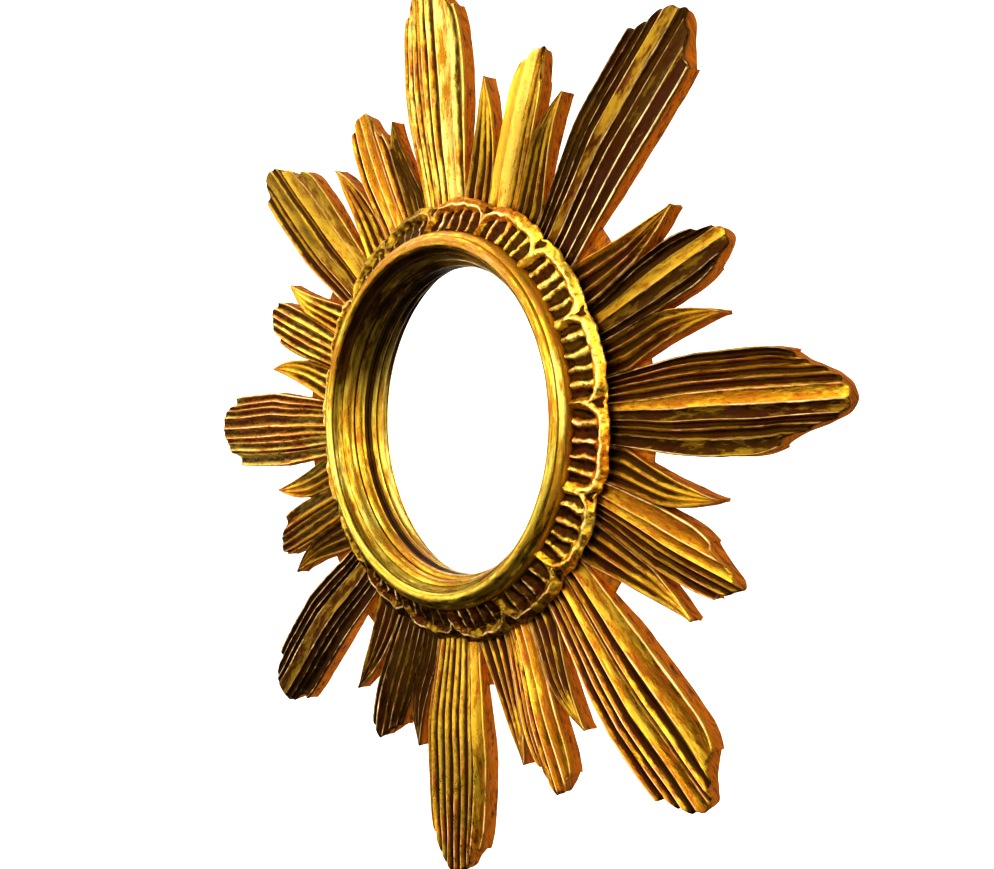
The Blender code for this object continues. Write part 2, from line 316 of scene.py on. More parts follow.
def makeGilding(name, look):
    material, shader = newMaterial(name)
    tree = material.node_tree
    # the flow attribute runs across and along what was carved or turned
    gilding = addNode(tree, "ShaderNodeGroup", {
        "Place": stretched(tree, attribute(tree, "flow", "Vector"), look["stretch"]),
        "Hollow": times(tree, attribute(tree, "hollow"), look["glaze"]), "Grain": look["grain"],
        **{label: attribute(tree, label.lower()) for label in ("Edge", "Wall", "Shade")},
        **{label: (*look[label], 1) for label in gildingColours},
    }, node_tree=gildingGroup)
    feed(shader.inputs["Base Color"], gilding.outputs["Colour"])
    feed(shader.inputs["Roughness"], gilding.outputs["Roughness"])
    feed(shader.inputs["Metallic"], gilding.outputs["Metallic"])
    addBump(tree, shader, gilding.outputs["Relief"], look["bump"], 0.0012)
    return material


def makeWood(name):
    grain = {
        "pale": (0.20, 0.11, 0.055, 1), "dark": (0.075, 0.038, 0.018, 1),
        "stretch": (6, 60, 60), "poreStretch": (40, 700, 700),
    }
    material, shader = newMaterial(name)
    tree = material.node_tree
    place = addNode(tree, "ShaderNodeTexCoord").outputs["Object"]
    streaks = cloud(tree, stretched(tree, place, grain["stretch"]), 3.0, 8.0, 0.6)
    pores = cloud(tree, stretched(tree, place, grain["poreStretch"]), 2.0, 4.0, 0.6)
    colour = blendColour(tree, rangeOf(tree, streaks, 0.35, 0.65), grain["dark"], grain["pale"])
    colour = blendColour(tree, rangeOf(tree, pores, 0.52, 0.7, 0.0, 0.6), colour, grain["dark"])
    feed(shader.inputs["Base Color"], colour)
    feed(shader.inputs["Roughness"], rangeOf(tree, streaks, 0.3, 0.7, 0.62, 0.85))
    addBump(tree, shader, pores, 0.4, 0.0006)
    return material


def makeSilvering(name):
    material, shader = newMaterial(name)
    tree = material.node_tree
    place = addNode(tree, "ShaderNodeTexCoord").outputs["Object"]
    haze = cloud(tree, place, 14.0, 6.0, 0.6)
    old = rangeOf(tree, haze, 0.45, 0.75)
    colour = blendColour(tree, old, (0.97, 0.975, 0.97, 1), (0.93, 0.94, 0.93, 1))
    feed(shader.inputs["Base Color"], colour)
    feed(shader.inputs["Roughness"], rangeOf(tree, haze, 0.4, 0.8, 0.008, 0.03))
    shader.inputs["Metallic"].default_value = 1.0
    return material


# ---- finishing a mesh

def meshFrom(name, bm, sharpAngle):
    mesh = bpy.data.meshes.new(name)
    bm.to_mesh(mesh)
    bm.free()
    mesh.shade_smooth()
    mesh.set_sharp_from_angle(angle=sharpAngle)
    return mesh


def addPiece(name, mesh, materials, node):
    parts = [face.material_index if len(materials) > 1 else 0 for face in mesh.polygons]
    mesh.materials.clear()
    for material in materials:
        mesh.materials.append(material)
    mesh.polygons.foreach_set("material_index", parts)
    piece = bpy.data.objects.new(name, mesh)
    bpy.context.scene.collection.objects.link(piece)
    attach(piece, "root")
    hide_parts(node)
    count = sum(len(face.vertices) - 2 for face in mesh.polygons)
    print(name, "has", count, "triangles")
    return piece


def runTree(name, bm, tree, values, sharpAngle):
    # the tree works on a small mesh as a modifier, and its result becomes a plain mesh
    seed = bpy.data.meshes.new(name)
    bm.to_mesh(seed)
    bm.free()
    carrier = bpy.data.objects.new(name + "_start", seed)
    bpy.context.scene.collection.objects.link(carrier)
    modifier = carrier.modifiers.new(name, "NODES")
    modifier.node_group = tree
    for item in tree.interface.items_tree:
        if item.item_type == "SOCKET" and item.in_out == "INPUT" and item.name in values:
            modifier[item.identifier] = values[item.name]
    graph = bpy.context.evaluated_depsgraph_get()
    made = bpy.data.meshes.new_from_object(carrier.evaluated_get(graph), depsgraph=graph)
    carrier.modifiers.remove(modifier)
    bpy.data.objects.remove(carrier, do_unlink=True)
    shaped = bmesh.new()
    shaped.from_mesh(made)
    bmesh.ops.recalc_face_normals(shaped, faces=shaped.faces)
    bpy.data.meshes.remove(made)
    return meshFrom(name, shaped, sharpAngle)


class Marks:
    # the numbers that the finish reads at each point of a mesh
    def __init__(self, bm):
        self.bm = bm
        layers = bm.verts.layers
        self.levels = {name: layers.float.new(name) for name in ("hollow", "edge", "wall", "shade")}
        self.flow = layers.float_vector.new("flow")

    def point(self, place, flow=(0, 0, 0), **levels):
        vert = self.bm.verts.new(place)
        for name, level in levels.items():
            vert[self.levels[name]] = level
        vert[self.flow] = Vector(flow)
        return vert


# ---- the board of rays

rays = {
    "start": 0.138, "rootTop": 0.0132, "climb": 0.0063, "climbWidth": 0.077, "tipDrop": 0.0006,
    "back": 0.0085, "bossRadius": 0.142, "webRadius": 0.176, "webFront": 0.0105, "seatStep": 0.001,
    "fluteDepth": 0.0026, "broadFrom": 1.4, "broadDepth": 0.45,    # broad flutes are shallow
    "edgeBand": 0.0007, "edgeDrop": 0.0004,                        # worn outer edge
    "uneven": 1.0, "shadeVaries": 0.35,                            # from flute to flute
    "rootValley": 0.0012, "notchValley": 0.0034, "notchRun": 0.006,
    "wander": 0.0010, "waver": 0.0004, "endRound": 0.0011, "endStep": 1.1,
    "cornerIn": 0.0036, "cornerRun": 0.024, "endSmooth": 7,        # rounded corners, even lower edge
    "narrowFrom": 0.225, "longReach": 0.303, "longRootHalf": 0.021, "longWideAt": 0.220,
    "middleReach": 0.250, "middleRootHalf": 0.0165, "middleWideAt": 0.205,
    "leafReach": 0.228, "leafRootHalf": 0.014, "leafPoint": 0.06,
    "leafTipRound": 0.0012, "leafTaper": 3.0, "leafHollow": 1.15, "leafBend": 0.95,    # degrees
    "roughness": 0.0003, "endLip": 0.0009, "notchStep": 0.0005, "bodyTurns": 144, "bodyRound": 0.0004,
    "rowSpacing": {"long": 0.0034, "middle": 0.0030, "leaf": 0.0030}, "endRun": 0.010,
    "endRows": (0.0, 0.12, 0.24, 0.36, 0.48, 0.60, 0.70, 0.79, 0.87, 0.93, 0.97, 1.0),
    # the sides, from the carving to the back: share of the way, bulge and wear
    "sideLevels": ((0.30, 0.0004, 0.35), (0.72, 0.0002, 0.1), (1.0, -0.0003, 0.4)),
    "sideRoughness": 0.0004,
}
# angle, half widths on the counter-clockwise and clockwise side in mm, shade, and where each flute
# ends as a share of the reach, counter-clockwise side first; the shade is partly patina and partly
# painted light: painted shade above zero, painted highlight below zero, as the light fell on each ray
longRays = [
    (0, 28, 28, 0.35, (0.90, 0.925, 0.96, 0.985, 1.0, 1.0, 0.975, 0.925, 0.87)),
    (45, 31, 24, 1.1, (0.905, 0.93, 0.965, 0.985, 0.995, 0.97, 0.925)),
    (90, 33, 29, -0.5, (0.925, 0.965, 0.995, 1.0, 0.997, 0.985, 0.955, 0.91)),
    (135, 26, 30, 0.3, (0.95, 0.99, 1.0, 0.985, 0.96, 0.925, 0.865)),
    (180, 28, 31, -0.65, (0.905, 0.96, 0.97, 0.985, 1.0, 1.0, 0.99, 0.97, 0.925)),
    (225, 22, 31, 1.4, (0.92, 0.975, 0.995, 1.0, 1.0, 0.985, 0.93)),
    (270, 31, 29, -0.15, (0.935, 0.97, 0.985, 0.995, 1.0, 0.985, 0.965, 0.925)),
    (315, 28, 34, 0.1, (0.935, 0.965, 0.985, 0.995, 0.98, 0.955, 0.92)),
]
middleRays = [
    (21, 16, 17, 0.95, (0.93, 0.975, 1.0, 1.0, 0.95)),
    (67, 13, 16, -0.25, (0.945, 0.975, 0.985, 0.91)),
    (110.8, 20, 19, -0.4, (0.945, 0.97, 0.965, 0.925, 0.865)),
    (157.3, 16, 18, -0.3, (0.88, 0.935, 0.945, 0.955, 0.93)),
    (202.3, 16, 16, -0.35, (0.91, 0.935, 0.925, 0.915, 0.87)),
    (250.5, 18, 19, 0.85, (0.885, 0.91, 0.945, 0.97, 0.945)),
    (293.5, 16, 17, 0.0, (0.97, 1.0, 1.0, 0.965, 0.925)),
    (338.5, 16, 18, 0.2, (0.92, 0.99, 1.02, 1.0, 0.97)),
]
# angle at the root, angle at the tip, and tip as a share of the reach
leafRays = [
    (11.3, 11.8, 1.035), (32.3, 29.0, 1.0), (56.8, 58.3, 0.995), (77.8, 77.5, 0.99),
    (101.0, 103.0, 0.96), (122.5, 122.2, 1.0), (147.0, 148.7, 0.97), (168.0, 167.0, 0.98),
    (192.0, 192.4, 0.967), (213.0, 210.4, 0.97), (238.5, 240.1, 0.98), (259.5, 260.0, 1.0),
    (282.5, 287.0, 1.005), (303.5, 302.7, 0.985), (327.5, 330.2, 1.03), (348.5, 347.2, 1.015),
]
# flutes that are much broader or narrower than their neighbours: number on the ray, and width
broadFlutes = {
    0: ((4, 1.5), (5, 1.5), (8, 1.7)), 21: ((2, 1.5), (3, 1.6)),
    90: ((6, 2.0), (5, 1.3), (0, 0.6)), 315: ((0, 2.2), (1, 1.3)), 270: ((0, 1.9),),
    135: ((5, 1.7), (6, 1.7)), 293.5: ((0, 1.8),), 45: ((5, 1.7), (6, 1.5)),
    110.8: ((1, 1.6), (2, 1.5)), 338.5: ((0, 2.3),), 67: ((1, 1.6),),
}
# long rays whose side curves in toward the tip: angle and side, and share of the half width
tipNarrows = {(90, -1): 0.26, (270, 1): 0.24}
# rays with squarer or rounder corners than the rest: share of the usual rounding, left and right
cornerShares = {
    0: (1.0, 1.3), 45: (0.3, 0.3), 135: (0.4, 2.0), 180: (0.4, 0.4), 225: (0.5, 0.7), 315: (2.1, 0.5),
    67: (1.7, 0.8), 157.3: (0.5, 0.8), 202.3: (0.5, 0.5), 338.5: (1.3, 0.4),
}
# flutes and leaf rays that are lighter or darker than the rest, partly patina and partly painted shade
# and painted highlight: ray, number on it, and shade
ownShade = {
    (45, 3): 0.75, (45, 5): 1.25, (45, 6): 1.15, (225, 3): 0.7, (0, 0): 0.8, (0, 4): 0.1, (0, 5): 1.1,
    (0, 8): 1.0, (21, 2): 0.3, (21, 3): 1.15, (90, 6): -0.9, (338.5, 0): 0.25, (315, 0): 0.2,
    (315, 1): 0.15, (270, 0): 0.0,
}
leafShade = {
    11.3: 0.25, 32.3: 0.3, 56.8: 0.4, 77.8: 0.3, 101.0: 0.95, 122.5: 0.2, 192.0: -0.1, 213.0: 0.3,
    238.5: 0.75, 259.5: 1.1, 282.5: 0.5, 303.5: 0.65, 327.5: 0.4, 348.5: 0.25,
}


def listRays():
    # every ray with its half widths as functions of the radius, in order of angle
    found = []

    def fluted(kind, angle, left, right, shade, ends, reach, rootHalf, wideAt):
        def half(side, radius):
            full = (left if side > 0 else right) * 0.001
            out = smoothStep((radius - rays["narrowFrom"]) / (reach - rays["narrowFrom"]))
            full *= 1 - tipNarrows.get((angle, side), 0.0) * out
            return mix(rootHalf, full, smoothStep((radius - rays["start"]) / (wideAt - rays["start"])))
        found.append({"kind": kind, "turn": lambda radius: radians(angle), "half": half, "ends": ends,
                      "reach": reach, "shade": shade, "angle": angle})

    def leaf(index, rootAngle, tipAngle, share):
        fullSide = 1 if index % 2 == 0 else -1
        reach = rays["leafReach"] * share

        def place(radius):
            return min(max((radius - rays["start"]) / (reach - rays["start"]), 0.0), 1.0)

        def half(side, radius):
            taper = rays["leafTaper"] if side == fullSide else rays["leafHollow"]
            return rays["leafRootHalf"] * max(1 - place(radius) ** taper, rays["leafPoint"])

        def turn(radius):
            bend = rays["leafBend"] * fullSide * sin(pi * place(radius))
            return radians(mix(rootAngle, tipAngle, place(radius)) + bend)
        found.append({"kind": "leaf", "half": half, "reach": reach, "fullSide": fullSide, "turn": turn,
                      "angle": rootAngle, "shade": leafShade.get(rootAngle, 0.0)})

    for ray in longRays:
        fluted("long", *ray, rays["longReach"], rays["longRootHalf"], rays["longWideAt"])
    for ray in middleRays:
        fluted("middle", *ray, rays["middleReach"], rays["middleRootHalf"], rays["middleWideAt"])
    for index, ray in enumerate(leafRays):
        leaf(index, *ray)
    return sorted(found, key=lambda ray: ray["angle"])


def findNotches(found):
    # where two neighbours part, and the line between them from the root out to there
    for index, ray in enumerate(found):
        after = found[(index + 1) % len(found)]
        lap = 2 * pi if index == len(found) - 1 else 0.0
        radius = rays["start"]
        limit = min(ray["reach"], after["reach"])
        while radius < limit:
            mine = ray["turn"](radius) + atan(ray["half"](1, radius) / radius)
            theirs = after["turn"](radius) + lap - atan(after["half"](-1, radius) / radius)
            if theirs > mine:
                break
            radius += rays["notchStep"]
        line = (mine + theirs) / 2
        ray["leftLine"], ray["leftNotch"] = line, radius
        after["rightLine"], after["rightNotch"] = line - lap, radius


def sideOf(ray, side, along):
    # half width at a distance along the ray, and how deep the valley beside it is there
    name = "left" if side > 0 else "right"
    line, notch = ray[name + "Line"], ray[name + "Notch"]
    own = ray["half"](side, along)
    shared = along * tan(abs(line - ray["turn"](along)))
    if along < notch:
        valley = mix(rays["rootValley"], rays["notchValley"],
                     smoothStep((along - rays["start"]) / (notch - rays["start"])))
        return min(own, shared), valley
    return min(own, max(shared, own * 0.5)), mix(rays["notchValley"], rays["edgeDrop"],
                                                 smoothStep((along - notch) / rays["notchRun"]))


def ridgeDepth(radius):
    return rays["rootTop"] + rays["climb"] * smoothStep((radius - rays["start"]) / rays["climbWidth"])


def sectionOf(ray, number):
    # across a ray: share of the width from the left edge, place counted in flutes, hollow, ridge, depth
    # as a share of the usual one, and shade
    if ray["kind"] == "leaf":
        ridges = (0.0, 0.3, 0.62, 1.0) if ray["fullSide"] > 0 else (0.0, 0.38, 0.7, 1.0)
        steps = (0.0, 0.08, 0.18, 0.34, 0.5, 0.66, 0.82, 0.92)
        widths = [1.0] * 3
    else:
        count = len(ray["ends"])
        widths = [1 + rays["uneven"] * ripple(flute * 1.73, number * 2.31, 0.5) for flute in range(count)]
        for flute, wider in broadFlutes.get(ray["angle"], ()):
            widths[flute] = wider
        ridges = [sum(widths[:flute]) / sum(widths) for flute in range(count + 1)]
        steps = (0.0, 0.06, 0.13, 0.23, 0.36, 0.5, 0.64, 0.77, 0.87, 0.94)
    section = []
    for flute in range(len(ridges) - 1):
        deep = rays["broadDepth"] if widths[flute] >= rays["broadFrom"] else 1.0
        shade = ray["shade"] + rays["shadeVaries"] * ripple(flute * 1.91, number * 3.37, 7.5)
        shade = ownShade.get((ray["angle"], flute), shade)
        for step in steps:
            hollow = 1 - (2 * step - 1) ** 2
            ridge = 1 - smoothStep((min(step, 1 - step) - 0.03) / 0.12)
            share = mix(ridges[flute], ridges[flute + 1], step)
            section.append((share, flute + step, hollow, ridge, deep, shade))
    section.append((1.0, len(ridges) - 1, 0.0, 1.0, 1.0, ray["shade"]))
    return section


def cornerOf(ray, side, along, share):
    # how far the outer flutes lean in where they run out at the corner of a ray
    end = ray["ends"][0 if side > 0 else -1] * ray["reach"]
    run = min(max((along - end) / rays["cornerRun"] + 1, 0.0), 1.0)
    weight = max(1 - 2 * share if side > 0 else 2 * share - 1, 0.0)
    left, right = cornerShares.get(ray["angle"], (1.0, 1.0))
    return side * rays["cornerIn"] * (left if side > 0 else right) * run ** 2.4 * weight ** 2


def endOf(ray, place):
    # how far out the ray reaches at a place counted in flutes
    if ray["kind"] == "leaf":
        return ray["reach"] - rays["leafTipRound"] * (2 * place / 3 - 1) ** 2
    ends = ray["ends"]
    flute = min(int(place + 1e-6), len(ends) - 1)
    lower = min(max(int(place - 0.5), 0), len(ends) - 1)
    upper = min(lower + 1, len(ends) - 1)
    step = smoothStep((place - 0.5 - lower - 0.5) * rays["endStep"] + 0.5)
    across = 2 * (place - flute) - 1
    scallop = rays["endRound"] * (1 - sqrt(max(0.0, 1 - across * across)))
    return mix(ends[lower], ends[upper], step) * ray["reach"] - scallop


def addRay(marks, ray, number):
    section = sectionOf(ray, number)
    ends = [endOf(ray, point[1]) for point in section]
    fluted = ray["kind"] != "leaf"
    firstEnd = min(ends) - (rays["endRun"] if fluted else 0.0)
    count = max(int((firstEnd - rays["start"]) / rays["rowSpacing"][ray["kind"]]), 8)
    inner = [mix(rays["start"], firstEnd, row / count) for row in range(count + (0 if fluted else 1))]
    outer = rays["endRows"] if fluted else ()
    band = rays["edgeBand"]
    grid = []
    columns = [(-1, section[0])] + [(0, s) for s in section] + [(1, section[-1])]
    for place, (share, inFlutes, hollow, ridge, deep, shade) in columns:
        flute = int(inFlutes)
        end = endOf(ray, inFlutes)
        column = []
        alongs = inner + [mix(firstEnd, end, t) for t in outer]
        for row, along in enumerate(alongs):
            turn = ray["turn"](along)
            left, leftValley = sideOf(ray, 1, along)
            right, rightValley = sideOf(ray, -1, along)
            inLeft, inRight = max(left - band, 0.0003), max(right - band, 0.0003)
            across = mix(inLeft, -inRight, share)
            nearEdge = min(left - across, right + across)
            tip = end - along
            waver = rays["wander"] * ripple(along * 24, across * 90, number * 7.3)
            waver *= smoothStep((nearEdge - band) / 0.003)
            drop = 0.0
            if place < 0:
                across, drop = left, leftValley
            elif place > 0:
                across, drop = -right, rightValley
            else:
                across += waver
            if fluted:
                across -= cornerOf(ray, 1, along, share) + cornerOf(ray, -1, along, share)
            if place and along > (ray["leftNotch"] if place < 0 else ray["rightNotch"]):
                across += rays["waver"] * ripple(along * 60, place * 3.1, number * 5.7)
            fade = 1.0
            if not fluted:
                fade = 1 - ((along - rays["start"]) / (end - rays["start"])) ** 3
            worn = 0.85 + 0.35 * ripple(along * 14, flute * 2.7, number * 3.9)
            depth = ridgeDepth(along) - rays["tipDrop"] * (along - rays["start"]) / (end - rays["start"])
            sink = hollow * deep * rays["fluteDepth"] * worn * fade
            if fluted:
                sink *= mix(0.55, 1.0, smoothStep(tip / 0.007))
                sink += rays["endLip"] * (1 - smoothStep(tip / 0.0012))
            depth -= sink + drop
            depth += rays["roughness"] * ripple(along * 45, across * 160, number * 1.7)
            x = along * cos(turn) - across * sin(turn)
            z = along * sin(turn) + across * cos(turn) - mirror["hangRadius"]
            rim = place != 0 or tip < 0.0008
            # rims and ridge lines are made pale: partly wear, partly painted highlight
            column.append(marks.point(
                (x, -depth, z), hollow=hollow * fade * deep, edge=0.75 if rim else ridge,
                shade=shade, flow=(across, along, number * 0.37)))
        grid.append(column)
    closeBlade(marks, grid, ray, number)


def closeBlade(marks, grid, ray, number):
    bm = marks.bm
    columns, rows = len(grid), len(grid[0])
    for column in range(columns - 1):
        for row in range(rows - 1):
            bm.faces.new((grid[column][row], grid[column][row + 1],
                          grid[column + 1][row + 1], grid[column + 1][row]))
    rim = [grid[column][0] for column in range(columns)]
    rim += [grid[-1][row] for row in range(1, rows)]
    rim += [grid[column][-1] for column in range(columns - 2, -1, -1)]
    rim += [grid[0][row] for row in range(rows - 2, 0, -1)]
    size = len(rim)
    outward = []
    for index in range(size):
        before, after = rim[index - 1].co, rim[(index + 1) % size].co
        run = Vector((after.x - before.x, after.z - before.z))
        outward.append(Vector((-run.y, run.x)).normalized() if run.length > 1e-9 else Vector((0, 0)))

    def evened(index):
        # the cut at the ray's end is smooth, below the scalloped ends of the flutes
        near = range(index - rays["endSmooth"], index + rays["endSmooth"] + 1)
        total = sum((rim[other % size].co for other in near), Vector())
        return total / len(near)

    last = rim
    for share, out, edge in rays["sideLevels"]:
        ring = []
        for index, vert in enumerate(rim):
            depth = mix(-vert.co.y, rays["back"], share)
            radius = vert[marks.flow].y
            free = smoothStep((radius - 0.150) / 0.02)
            x, z = vert.co.x, vert.co.z
            if columns + rows - 2 < index < 2 * columns + rows - 3:
                free = 0.25
                if "ends" in ray:
                    even = evened(index)
                    x, z = mix(x, even.x, share), mix(z, even.z, share)
            rough = rays["sideRoughness"] * ripple(vert.co.x * 130, share * 3, vert.co.z * 130)
            bulge = (out + rough) * free if index >= columns else 0.0
            # the sides carry half of the ray's shade above zero, painted shade included
            ring.append(marks.point(
                (x + outward[index].x * bulge, -depth, z + outward[index].y * bulge),
                edge=edge * 0.6, wall=1.0, shade=max(ray["shade"], 0.0) * 0.5,
                flow=(vert[marks.flow].x + share * 0.01, radius, number * 0.37 + 0.2)))
        for index in range(size):
            after = (index + 1) % size
            bm.faces.new((last[index], last[after], ring[after], ring[index]))
        last = ring
    bottom = bm.faces.new(last)
    bottom.material_index = 1
    bottom.smooth = False


def buildRays(gilding, wood):
    bm = bmesh.new()
    marks = Marks(bm)
    webBack = rays["back"] + 0.0003
    body = [(mirror["hole"], 0.0), (rays["bossRadius"], 0.0), (rays["bossRadius"], webBack),
            (rays["webRadius"], webBack),
            (rays["webRadius"] + rays["bodyRound"], rays["webFront"] - rays["bodyRound"]),
            (rays["webRadius"] - rays["bodyRound"], rays["webFront"]),
            (mirror["seatRadius"] + rays["seatStep"], rays["webFront"]),
            (mirror["seatRadius"], mirror["boardSeat"]), (mirror["hole"], mirror["boardSeat"])]
    turns = rays["bodyTurns"]
    rings = []
    for step in range(turns):
        angle = 2 * pi * step / turns
        rings.append([marks.point(
            (radius * cos(angle), -depth, radius * sin(angle) - mirror["hangRadius"]),
            hollow=0.8, wall=0.6, flow=(angle * 0.15, radius, depth)) for radius, depth in body])
    for step in range(turns):
        here, there = rings[step], rings[(step + 1) % turns]
        for index in range(len(body)):
            after = (index + 1) % len(body)
            face = bm.faces.new((here[index], here[after], there[after], there[index]))
            face.material_index = 1 if index < 3 or index == len(body) - 1 else 0
    found = listRays()
    findNotches(found)
    for number, ray in enumerate(found):
        addRay(marks, ray, number)
    bmesh.ops.recalc_face_normals(bm, faces=bm.faces)
    mesh = meshFrom("carved_rays", bm, radians(38))
    return addPiece("carved_rays", mesh, (gilding, wood), "sunburst_ray_board")


# ---- the scalloped collar

collar = {
    "scallops": 16, "flutes": 5, "firstAngle": radians(2),
    "inner": 0.1253, "innerDepth": 0.0287, "radius": 0.1432, "bulge": 0.0034,
    "rimDepth": 0.0205, "rimHalf": 0.0029, "cornerRadius": 0.0075, "ridgeHalf": 0.0021,
    "pocketDepth": 0.0036, "fluteDepth": 0.0027, "outsideDrop": 0.0030,
    "underside": 0.0154, "seatRadius": 0.1337, "seat": 0.0126,
    "uneven": 0.0060, "unevenScale": 105.0, "columns": 56, "rows": 34,
    "ridgeRound": 1.4,         # more makes the ridges between flutes sharper
    "shoulder": 0.0006, "budHalf": 0.0024, "budRadius": 0.1405, "budLength": 0.0034, "budRise": 0.0016,
    # painted shade darkens the collar at its foot and upper left, and more lightly at the top and lower
    # left; painted highlights brighten its rims at the right and the left
    "paintedShades": ((262, 0.75, 0.5), (128, 0.55, 0.7), (75, 0.25, 0.7), (225, 0.3, 0.8)),
    "paintedHighlightAt": ((12, -1.2), (182, -1.0)),
}


def scallopEdge(u):
    return collar["radius"] + collar["bulge"] * (1 - abs(u) ** 3.2)


def scallopPoint(u, q):
    # a point of the scallop's upper side: u from -1 to 1 across, q from the moulding to the shoulder
    halfAngle = pi / collar["scallops"]
    outer = scallopEdge(u) - collar["shoulder"]
    radius = mix(collar["inner"], outer, q)
    slope = (radius - collar["inner"]) / (outer - collar["rimHalf"] - collar["inner"])
    crest = mix(collar["innerDepth"], collar["rimDepth"], min(slope, 1.0) ** 0.92)
    # distance from the edge of a pocket that is straight at the sides and round at the foot
    x = abs(u) * halfAngle * radius
    halfWidth = halfAngle * radius - collar["ridgeHalf"]
    foot = outer - 2 * collar["rimHalf"]
    corner = collar["cornerRadius"]
    dx, dy = x - (halfWidth - corner), radius - (foot - corner)
    if dx > 0 and dy > 0:
        away = hypot(dx, dy) - corner
    else:
        away = max(dx, dy) - corner
    w = collar["rimHalf"]
    if away < w:
        sink = collar["pocketDepth"] * smoothStep((w - away) / (w + 0.0016))
    else:
        sink = collar["outsideDrop"] * smoothStep((away - w) / (1.5 * w))
    inside = smoothStep(-away / 0.0022)
    phase = (u + 1) / 2 * collar["flutes"] + 0.10 * sin(3.1 * u + 0.6)
    gouge = abs(2 * (phase % 1.0) - 1)
    flute = 1 - gouge ** collar["ridgeRound"]
    depth = crest - sink - collar["fluteDepth"] * (flute * inside - 0.35 * inside)
    # a small bud stands between two scallops
    bud = 1 - ((halfAngle * radius - x) / collar["budHalf"]) ** 2
    bud -= ((radius - collar["budRadius"]) / collar["budLength"]) ** 2
    depth += collar["budRise"] * sqrt(max(0.0, bud))
    gap = smoothStep((away - 1.6 * w) / 0.0015) * smoothStep((abs(u) - 0.86) / 0.06)
    hollow = max(inside * (0.15 + 0.85 * flute), gap)
    # edge makes the rims and the ridges between flutes pale: painted highlight for their glints, partly
    # wear
    edge = max(smoothStep(1 - abs(away - w) / (0.8 * w)), inside * (1 - flute) ** 1.3)
    return radius, depth, hollow, edge


def buildScallop():
    bm = bmesh.new()
    marks = Marks(bm)
    step = 2 * pi / collar["scallops"]
    sections = []
    for column in range(collar["columns"] + 1):
        u = 2 * column / collar["columns"] - 1
        angle = (u + 1) / 2 * step
        loop = []
        for row in range(collar["rows"] + 1):
            radius, depth, hollow, edge = scallopPoint(u, row / collar["rows"])
            loop.append((radius, depth, hollow, edge, 0.0))
        radius, depth, hollow, edge = scallopPoint(u, 1.0)
        outer = scallopEdge(u)
        drop = depth - collar["underside"]
        for out, down in ((0.0007, 0.16), (0.0013, 0.36), (0.0016, 0.6), (0.0012, 0.84)):
            loop.append((outer - collar["shoulder"] + out, depth - drop * down, 0.0, 0.35, 0.0))
        loop.append((outer - 0.0004, collar["underside"], 0.7, 0.3, 0.5))
        loop.append((mix(outer, collar["seatRadius"], 0.5),
                     mix(collar["underside"], collar["seat"], 0.5), 1.0, 0.0, 0.6))
        loop.append((collar["seatRadius"], collar["seat"], 1.0, 0.0, 0.6))
        loop.append((collar["inner"], collar["seat"], 1.0, 0.0, 0.6))
        loop.append((collar["inner"], collar["innerDepth"] - 0.006, 1.0, 0.0, 0.6))
        sections.append([marks.point((radius * cos(angle), -depth, radius * sin(angle)),
                                     hollow=hollow, edge=edge, wall=wall)
                         for radius, depth, hollow, edge, wall in loop])
    for column in range(collar["columns"]):
        here, there = sections[column], sections[column + 1]
        for index in range(len(here)):
            after = (index + 1) % len(here)
            bm.faces.new((here[index], here[after], there[after], there[index]))
    return bm


def collarTree():
    tree, given, result = addGroup("scallopsRoundTheMoulding", "GeometryNodeTree", (
        ("Geometry", "NodeSocketGeometry"), ("Scallops", "NodeSocketInt"),
        *((label, "NodeSocketFloat") for label in ("First Angle", "Unevenness", "Uneven Scale", "Drop")),
        ("Finish", "NodeSocketMaterial"),
    ), (("Geometry", "NodeSocketGeometry"),))
    points = addNode(tree, "GeometryNodePoints", {"Count": given["Scallops"]})
    step = reckon(tree, "DIVIDE", 2 * pi, given["Scallops"])
    turn = times(tree, addNode(tree, "GeometryNodeInputIndex"), step)
    turn = times(tree, plus(tree, turn, given["First Angle"]), -1.0)
    turn = addNode(tree, "ShaderNodeCombineXYZ", {"Y": turn})
    ring = addNode(tree, "GeometryNodeInstanceOnPoints", {
        "Points": points, "Instance": given["Geometry"], "Rotation": turn})
    whole = addNode(tree, "GeometryNodeRealizeInstances", {0: ring})
    weld = addNode(tree, "GeometryNodeMergeByDistance", {"Geometry": whole, "Distance": 0.00002})
    # the hand carving: every point in front is shifted a little
    rough = addNode(tree, "ShaderNodeTexNoise", {
        "Vector": addNode(tree, "GeometryNodeInputPosition"),
        "Scale": given["Uneven Scale"], "Detail": 3.0})
    shift = addNode(tree, "ShaderNodeVectorMath", {
        0: rough.outputs["Color"], 1: (0.5, 0.5, 0.5)}, operation="SUBTRACT")
    shift = addNode(tree, "ShaderNodeVectorMath", {
        0: shift, "Scale": given["Unevenness"]}, operation="SCALE")
    wall = addNode(tree, "GeometryNodeInputNamedAttribute", {"Name": "wall"}, data_type="FLOAT")
    front = addNode(tree, "FunctionNodeCompare", {0: wall, 1: 0.45}, operation="LESS_THAN")
    carved = addNode(tree, "GeometryNodeSetPosition", {
        "Geometry": weld, "Selection": front, "Offset": shift})
    down = addNode(tree, "ShaderNodeCombineXYZ", {"Z": times(tree, given["Drop"], -1.0)})
    lower = addNode(tree, "GeometryNodeTransform", {"Geometry": carved, "Translation": down})
    finish = addNode(tree, "GeometryNodeSetMaterial", {"Geometry": lower, "Material": given["Finish"]})
    feed(result["Geometry"], finish)
    return tree


